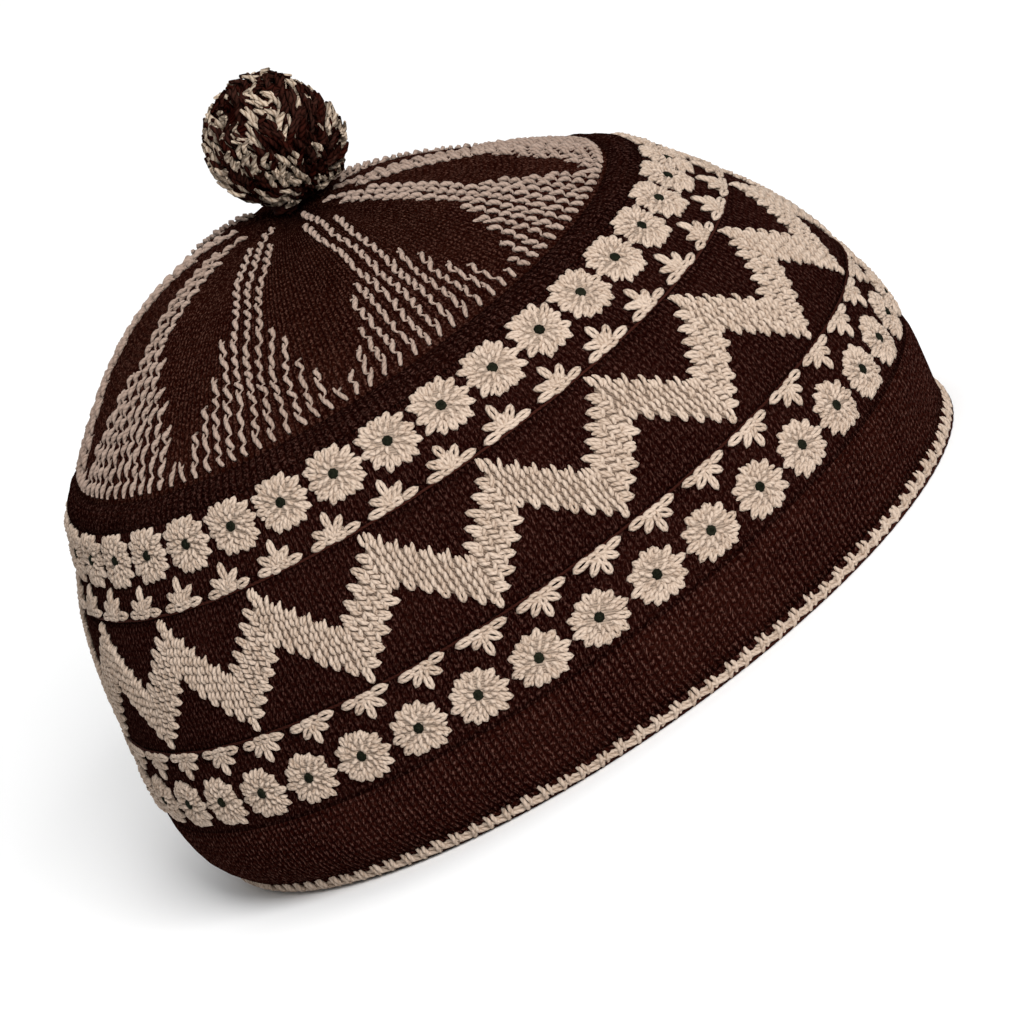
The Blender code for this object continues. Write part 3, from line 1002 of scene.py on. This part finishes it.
def zigzag_piece():
    loop_rows = []
    single_rows = []
    for step in range(-HALF_COLUMNS, HALF_COLUMNS):
        top = -ZIGZAG_STEP * abs(step)
        rising = -HALF_COLUMNS < step < 0
        looped = RISING_LOOPS if rising else FALLING_LOOPS
        tips = FALLING_TIPS if step > 0 else PEAK_TIPS
        for rows, stitches in ((loop_rows, looped), (single_rows, () if rising else tips)):
            for base_x, base_y, tip_x, tip_y in stitches:
                rows.append((step * WALE, base_x, base_y + top, tip_x, tip_y + top))
        rows, row_step = RISING_ROWS if rising else FALLING_ROWS
        for middle_x, middle_y, run_x, run_y in RISING_STITCHES if rising else FALLING_STITCHES:
            for row in range(rows):
                y = middle_y + top - row * row_step
                half_x = run_x / 2
                half_y = run_y / 2
                single_rows.append(
                    (step * WALE, middle_x - half_x, y - half_y, middle_x + half_x, y + half_y)
                )
    groups = []
    for rows, looped in ((loop_rows, True), (single_rows, False)):
        table = np.tile(np.array(rows), (len(ZIGZAG_TURNS), 1))
        turn = np.repeat(ZIGZAG_TURNS, len(rows)) + table[:, 0]
        place = (ZIGZAG_TOP, turn, table[:, 1:3], table[:, 3:5])
        if looped:
            groups.append(loops(*place, PETAL_HALF, YARN_RADIUS - 0.02, STITCH_LIFT))
        else:
            groups.append(straights(*place, YARN_RADIUS + 0.03, STITCH_LIFT + 0.05))
    add_strands("zigzag_stitches", groups, TAN)


zigzag_piece()
MATS.append(zigzag_mat())
# The mats and the ribbon in darker tan: painted shade in the gaps between the stitches
add_strands("embroidery_ground_shaded", MATS, TAN_UNDER_SHADED)

RING_STEPS = 504
SEAM_RADIUS = 0.3
SEAM_WAVE = 0.06


def ring_strands(name, rows):
    """Dark strands that run right round: length up the wall, lift, radius, wave, waves round."""
    angle = np.linspace(0, 360, RING_STEPS, endpoint=False)
    groups = []
    for length, lift, radius, wave, waves in rows:
        swing = wave * np.sin(np.radians(angle) * waves)
        paths, ups = on_wall(angle[None], length + swing[None], lift)
        groups.append(tubes(paths, ups, radius, ROUND_SIDES, True, CHANCE.uniform(0.3, 0.7, 1)))
    add_strands(name, groups, DARK_YARN)


ring_strands("seam_lines", (
    (UPPER_LINE - 0.25, WALL_GROUND + SEAM_RADIUS, SEAM_RADIUS, SEAM_WAVE, 41),
    (LOWER_LINE + 0.2, WALL_GROUND + SEAM_RADIUS, SEAM_RADIUS, SEAM_WAVE, 37),
))

# Edging

PRONGS = 126
RIM_GROUND = WALL_GROUND + 0.2
RIM_DRAW = 0.45
RIM_WAVE = 0.08
PRONG_STRAY = 0.12
# Strands laid along the rim: length up the wall, lift, radius, waves round
RIM_STRANDS = ((1.75, 0.1, 0.55, PRONGS), (1.2, 0.15, 0.42, PRONGS // 2))
# Strands of one prong: x, length up the wall, lift
PRONG_LEFT = np.array([
    (-3.0, 0.3, 0.0), (-2.4, 0.8, 0.6), (-1.6, 1.6, 0.9), (-1.0, 2.6, 0.75), (-0.9, 3.6, 0.2),
])
PRONG_RIGHT = np.array([
    (-1.0, 0.8, 0.4), (-0.3, 1.5, 0.85), (0.1, 2.1, 0.9), (0.3, 2.8, 0.7), (0.5, 3.4, 0.2),
])
PRONG_BACK = np.array([
    (2.3, 0.8, 0.3), (1.3, 1.1, 0.7), (0.1, 1.5, 0.85), (-1.2, 1.9, 0.7), (-2.4, 2.0, 0.3),
])
PRONG_TAPER = np.array((0.7, 1.0, 1.05, 1.0, 0.8))


def rim_lift(turn, lift):
    """Lift of a strand on the rim, which is drawn in a little on the cap's right."""
    return RIM_GROUND + lift - RIM_DRAW * ((1 + np.cos(np.radians(turn))) / 2) ** 4


def edging():
    """Overcast edge: two strands laid along the rim and slanted stitches over them."""
    prongs = 360.0 / PRONGS * np.arange(PRONGS) + CHANCE.normal(0, PRONG_STRAY, PRONGS)
    angle = np.linspace(0, 360, RING_STEPS, endpoint=False)
    groups = []
    for length, lift, radius, waves in RIM_STRANDS:
        swing = RIM_WAVE * np.sin(np.radians(angle) * waves)
        paths, ups = on_wall(angle[None], length + swing[None], rim_lift(angle, lift)[None])
        groups.append(tubes(paths, ups, radius, ROUND_SIDES, True, np.array((0.45,))))
    for strand, radius in ((PRONG_LEFT, 0.54), (PRONG_RIGHT, 0.5), (PRONG_BACK, 0.44)):
        x = strand[:, 0] + CHANCE.normal(0, PRONG_STRAY, (PRONGS, len(strand)))
        y = strand[:, 1] * CHANCE.uniform(0.88, 1.12, (PRONGS, 1))
        lift = rim_lift(prongs[:, None], strand[:, 2])
        paths, ups = on_wall_flat(prongs[:, None], 0.0, x, y, lift)
        tones = CHANCE.uniform(0, 1, PRONGS)
        groups.append(tubes(paths, ups, radius * PRONG_TAPER, ROUND_SIDES, False, tones))
    add_strands("edging_stitches", groups, TAN, ["hem_edging"])


edging()
ring_strands("rim_dark_strand", ((0.45, RIM_GROUND + 0.2, 0.36, RIM_WAVE, PRONGS),))

# Pompom


def even_directions(count):
    """Directions spread evenly over a sphere."""
    index = np.arange(count) + 0.5
    z = 1 - 2 * index / count
    turn = np.pi * (1 + 5 ** 0.5) * index
    flat = np.sqrt(1 - z * z)
    return np.stack((flat * np.cos(turn), flat * np.sin(turn), z), axis=-1)


STRANDS = 820
STRAND_RADIUS = 0.64
STRAND_REACH = 14.2
STRAND_GIRTHS = np.array((0.8, 0.9, 1.0, 1.0, 1.0, 1.0, 0.95, 0.55))
TIP_LENGTH = 5.5
LOCKS = 150
TAN_LOCKS = 0.37
ODD_STRANDS = 0.14
POMPOM_SEED = 16
STRAND_ROOT = POMPOM_CENTRE + np.array((0.0, 0.0, -10.5))
CROWN_CLEARANCE = 114.2
# The head is fuller low on its right and flatter high on its right
FULLER = 2.2
FULLER_SIDE = np.array((0.55, -0.10, -0.83))
FLATTER = 1.3
FLATTER_SIDE = np.array((0.97, 0.0, 0.24))


def pompom_piece():
    """Cut yarn that springs from the tie, in locks of one colour that lie the same way."""
    chance = np.random.default_rng(POMPOM_SEED)
    direction = unit(even_directions(STRANDS) + chance.normal(0, 0.05, (STRANDS, 3)))
    stray_share = 0.25 + 0.3 * (1 + direction[:, 2:])
    middles = unit(even_directions(LOCKS) + chance.normal(0, 0.16, (LOCKS, 3)))
    near = direction @ middles.T + chance.normal(0, 0.015, (STRANDS, LOCKS))
    lock = np.argmax(near, axis=1)
    tan_lock = chance.uniform(0, 1, LOCKS) < TAN_LOCKS
    sideways = unit(np.cross(middles, chance.normal(0, 1, (LOCKS, 3))))
    stray = sideways * chance.uniform(0.5, 1.5, (LOCKS, 1))
    stray = stray[lock] + chance.normal(0, 0.3, (STRANDS, 3))
    reach = STRAND_REACH + chance.normal(0, 0.35, (STRANDS, 1))
    reach = reach + chance.normal(0, 0.25, (LOCKS, 1))[lock]
    reach = reach + FULLER * np.clip(direction @ FULLER_SIDE, 0, 1)[:, None] ** 2
    reach = reach - FLATTER * np.clip(direction @ FLATTER_SIDE, 0, 1)[:, None] ** 4
    odd = chance.uniform(0, 1, STRANDS) < ODD_STRANDS
    is_tan = tan_lock[lock] ^ odd
    reach = reach + 0.25 * is_tan[:, None]
    end = POMPOM_CENTRE + direction * (reach - 0.45)
    run = end - STRAND_ROOT
    heading = unit(unit(run) - direction * 0.5 + stray * stray_share)
    first = STRAND_ROOT + run * 0.3
    second = first + run * 0.25
    third = POMPOM_CENTRE + unit(end - heading * TIP_LENGTH - POMPOM_CENTRE) * (reach + 0.5)
    share = np.linspace(0, 1, len(STRAND_GIRTHS))[None, :, None]
    rest = 1 - share
    paths = (
        rest ** 3 * first[:, None]
        + 3 * rest ** 2 * share * second[:, None]
        + 3 * rest * share ** 2 * third[:, None]
        + share ** 3 * end[:, None]
    )
    paths[..., 2] = np.maximum(paths[..., 2], CROWN_CLEARANCE + 0.3 * share[..., 0])
    across = unit(np.cross(heading, unit(chance.normal(0, 1, heading.shape))))
    ups = across[:, None] + np.zeros_like(paths)
    radii = STRAND_RADIUS * STRAND_GIRTHS * chance.uniform(0.85, 1.15, (STRANDS, 1))
    tan_tones = chance.uniform(0.7, 1.0, STRANDS)
    dark_tones = chance.uniform(0.0, 0.02, STRANDS)
    strands = tubes(paths, ups, radii, YARN_SIDES, False, np.where(is_tan, tan_tones, dark_tones))
    add_strands("pompom_strands", [strands], POMPOM, ["pompom"])


pompom_piece()


CORE_RADIUS = 10.6
CORE_ROWS = 40
CORE_COLUMNS = 72
CORE_HOLE = 0.03
CORE_LUMPS = 0.35


def pompom_core():
    """Dense middle of the pompom, a lumpy ball of short yarn, all in the dark yarn: partly the pompom's
    dark yarn, partly painted shade deep between the strands.
    """
    tilt = np.linspace(CORE_HOLE, np.pi - CORE_HOLE, CORE_ROWS)
    turn = np.linspace(0, 2 * np.pi, CORE_COLUMNS, endpoint=False)
    tilt, turn = np.meshgrid(tilt, turn, indexing="ij")
    flat = np.sin(tilt)
    direction = np.stack((flat * np.cos(turn), flat * np.sin(turn), np.cos(tilt)), axis=-1)
    lumps = CORE_LUMPS * np.sin(9 * turn) * np.sin(11 * tilt)
    points = (direction * (CORE_RADIUS + lumps)[..., None] + POMPOM_CENTRE).reshape(-1, 3)
    faces = [ring_quads(CORE_ROWS - 1, CORE_ROWS, CORE_COLUMNS)[:, [0, 3, 2, 1]]]
    for row, sense in ((0, 1), (CORE_ROWS - 1, -1)):
        points = np.concatenate((points, POMPOM_CENTRE[None] + (0, 0, CORE_RADIUS * sense)))
        ring = row * CORE_COLUMNS + np.arange(CORE_COLUMNS)
        following = np.roll(ring, -1)
        order = (ring, following) if sense > 0 else (following, ring)
        faces.append(np.stack((np.full(CORE_COLUMNS, len(points) - 1), *order), axis=-1))
    uvs = [points[face.ravel()][:, :2] for face in faces]
    # Tone 0 everywhere gives the dark yarn, partly painted shade deep in the pompom
    add_strands("pompom_core", [(points, faces, uvs, np.zeros(len(points)))], POMPOM)


pompom_core()


# Windings of the tie: height at its start, height at its end, radius, radius of the yarn, turns
WINDINGS = (
    (113.4, 115.4, 2.7, 0.6, 3),
    (108.6, 109.8, 2.6, 0.65, 3),
    (109.0, 114.2, 1.2, 0.6, 4),
    (108.8, 109.6, 1.1, 0.6, 2),
)
TURN_POINTS = 18


def tie_piece():
    """Yarn wound round the gathered apex, with its knot inside the crown."""
    groups = []
    for low, high, radius, thick, turns in WINDINGS:
        share = np.linspace(0, 1, turns * TURN_POINTS)
        angle = share * turns * 2 * np.pi
        wide = radius + 0.2 * np.sin(angle * 0.37)
        rise = low + (high - low) * share
        paths = np.stack((wide * np.cos(angle), wide * np.sin(angle), rise), axis=-1)
        ups = np.broadcast_to((0.0, 0.0, 1.0), paths.shape)
        tones = CHANCE.uniform(0.2, 0.8, 1)
        groups.append(tubes(paths[None], ups[None], thick, TIE_SIDES, False, tones))
    add_strands("tie_yarn", groups, DARK_YARN, ["pompom_tie"])


tie_piece()

# Floor, light and camera, with lengths in metres

FLOOR_HALF = 4.0
FLOOR_WHITE = 0.93

mesh = bpy.data.meshes.new("studio_floor")
corners = np.array([(-1, -1, 0), (1, -1, 0), (1, 1, 0), (-1, 1, 0)]) * FLOOR_HALF
mesh.from_pydata(corners.tolist(), [], [(0, 1, 2, 3)])
material = bpy.data.materials.new("studio_floor_pale")
material.use_nodes = True
shader = material.node_tree.nodes["Principled BSDF"]
shader.inputs["Base Color"].default_value = (FLOOR_WHITE, FLOOR_WHITE, FLOOR_WHITE, 1)
shader.inputs["Roughness"].default_value = 0.9
mesh.materials.append(material)
floor = bpy.data.objects.new("studio_floor", mesh)
bpy.context.scene.collection.objects.link(floor)


def area_light(name, place, target, size, energy):
    data = bpy.data.lights.new(name, "AREA")
    data.shape = "SQUARE"
    data.size = size
    data.energy = energy
    light = bpy.data.objects.new(name, data)
    light.location = place
    direction = Vector(target) - Vector(place)
    light.rotation_euler = direction.to_track_quat("-Z", "Y").to_euler()
    bpy.context.scene.collection.objects.link(light)


# Lights: place, target, size, watts
area_light("key_light", (0.44, -1.42, 0.92), (0, 0, 0.05), 0.75, 37.0)
area_light("top_light", (0.4, 0.0, 1.5), (0, 0, 0.05), 1.2, 8.5)
area_light("floor_light", (-0.5, 1.3, 0.9), (-0.25, 0.6, 0.0), 1.0, 8.0)

world = bpy.data.worlds.new("studio_world")
world.use_nodes = True
background = world.node_tree.nodes["Background"]
background.inputs["Color"].default_value = (1.0, 1.0, 1.0, 1)
background.inputs["Strength"].default_value = 0.30
bpy.context.scene.world = world
bpy.context.scene.view_settings.view_transform = "Standard"

CAMERA_ELEVATION = math.radians(14.28)
CAMERA_ROLL = math.radians(-34.49)
CAMERA_DISTANCE = 2.177
CAMERA_TARGET = Vector((0.0028, 0.0, 0.054))
FOCAL_PIXELS = 10353.8
AXIS_X = -56.2
AXIS_Y = -86.1
PICTURE = 1024
SENSOR = 36.0

back = Vector((0, -math.cos(CAMERA_ELEVATION), math.sin(CAMERA_ELEVATION)))
level_up = Vector((0, math.sin(CAMERA_ELEVATION), math.cos(CAMERA_ELEVATION)))
level_right = Vector((1, 0, 0))
right = math.cos(CAMERA_ROLL) * level_right + math.sin(CAMERA_ROLL) * level_up
up = -math.sin(CAMERA_ROLL) * level_right + math.cos(CAMERA_ROLL) * level_up
data = bpy.data.cameras.new("photo_camera")
data.sensor_width = SENSOR
data.sensor_height = SENSOR
data.lens = FOCAL_PIXELS / PICTURE * SENSOR
data.shift_x = -AXIS_X / PICTURE
data.shift_y = AXIS_Y / PICTURE
data.clip_end = 20.0
camera = bpy.data.objects.new("photo_camera", data)
turn = Matrix((right, up, back)).transposed()
camera.matrix_world = Matrix.Translation(CAMERA_TARGET + back * CAMERA_DISTANCE) @ turn.to_4x4()
bpy.context.scene.collection.objects.link(camera)
bpy.context.scene.camera = camera
